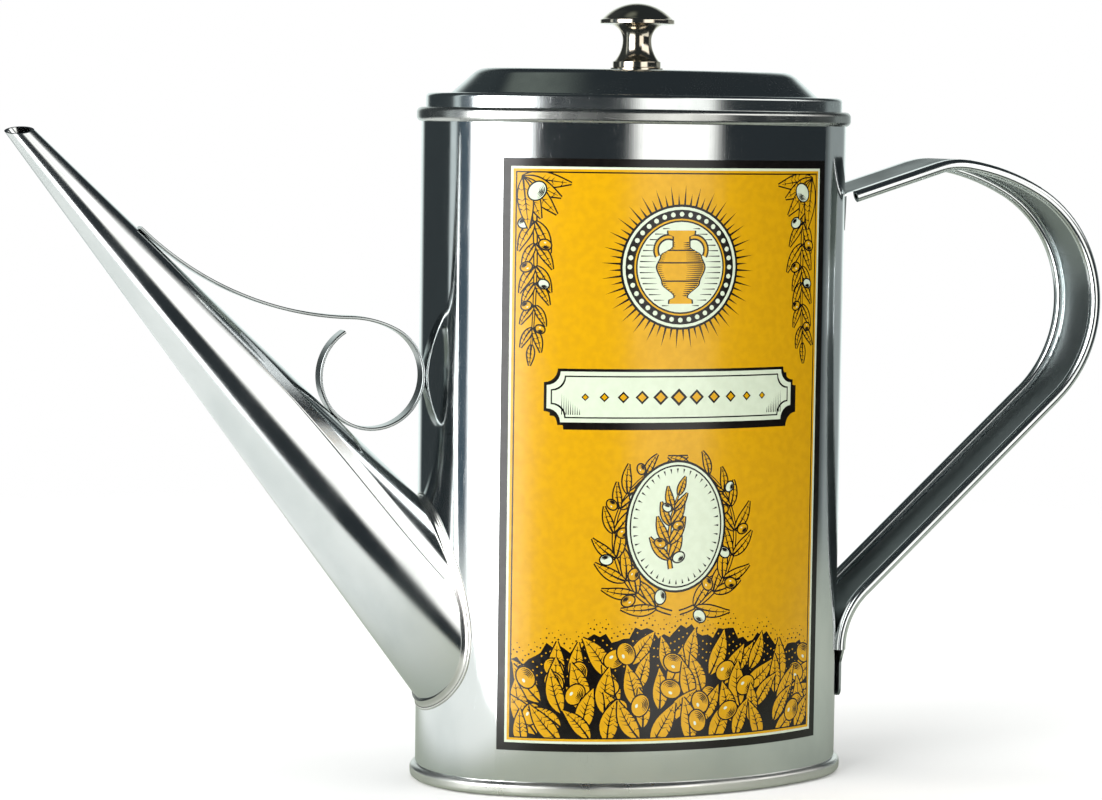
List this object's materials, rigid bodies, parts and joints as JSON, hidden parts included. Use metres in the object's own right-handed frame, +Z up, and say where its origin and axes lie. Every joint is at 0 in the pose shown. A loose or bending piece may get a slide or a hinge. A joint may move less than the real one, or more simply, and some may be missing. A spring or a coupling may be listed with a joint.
{
  "type": "olive oil tin with spout",
  "caption": "Oval polished metal oil can with a long conical pouring spout, scroll brace, strap handle, printed front panel and a loose domed lid with a turned knob.",
  "frame": {"origin": "middle of the oval can, on the table under its base", "axes": "+Z up, +X towards the handle, -X towards the spout, -Y towards the label"},
  "size_m": [0.287, 0.0738, 0.1969],
  "materials": {
    "tinplate": "polished, with fine vertical draw lines",
    "tinplate_rim": "satin, slightly marked by the seaming rolls",
    "tinplate_lid": "polished",
    "solder": "satin soldered edge",
    "nickel": "polished nickel plate",
    "printed_label": "glossy lithographed ochre, black and cream"
  },
  "bodies": {
    "can": {"body_shell": "tinplate", "top_rim": "tinplate_rim", "base_plate": "tinplate_rim", "spout": "tinplate", "spout_flange": "solder", "scroll_brace": "tinplate", "handle_strip": "tinplate", "label": "printed_label"},
    "lid": {"lid_cap": "tinplate_lid", "lid_plug": "tinplate_lid", "knob_washer": "nickel", "lid_knob": "nickel", "knob_screw": "nickel"}
  },
  "joints": [
    {"name": "lid_lift", "type": "slide", "parent": "can", "child": "lid", "axis": [0, 0, 1], "range_m": [0, 0.05]}
  ]
}
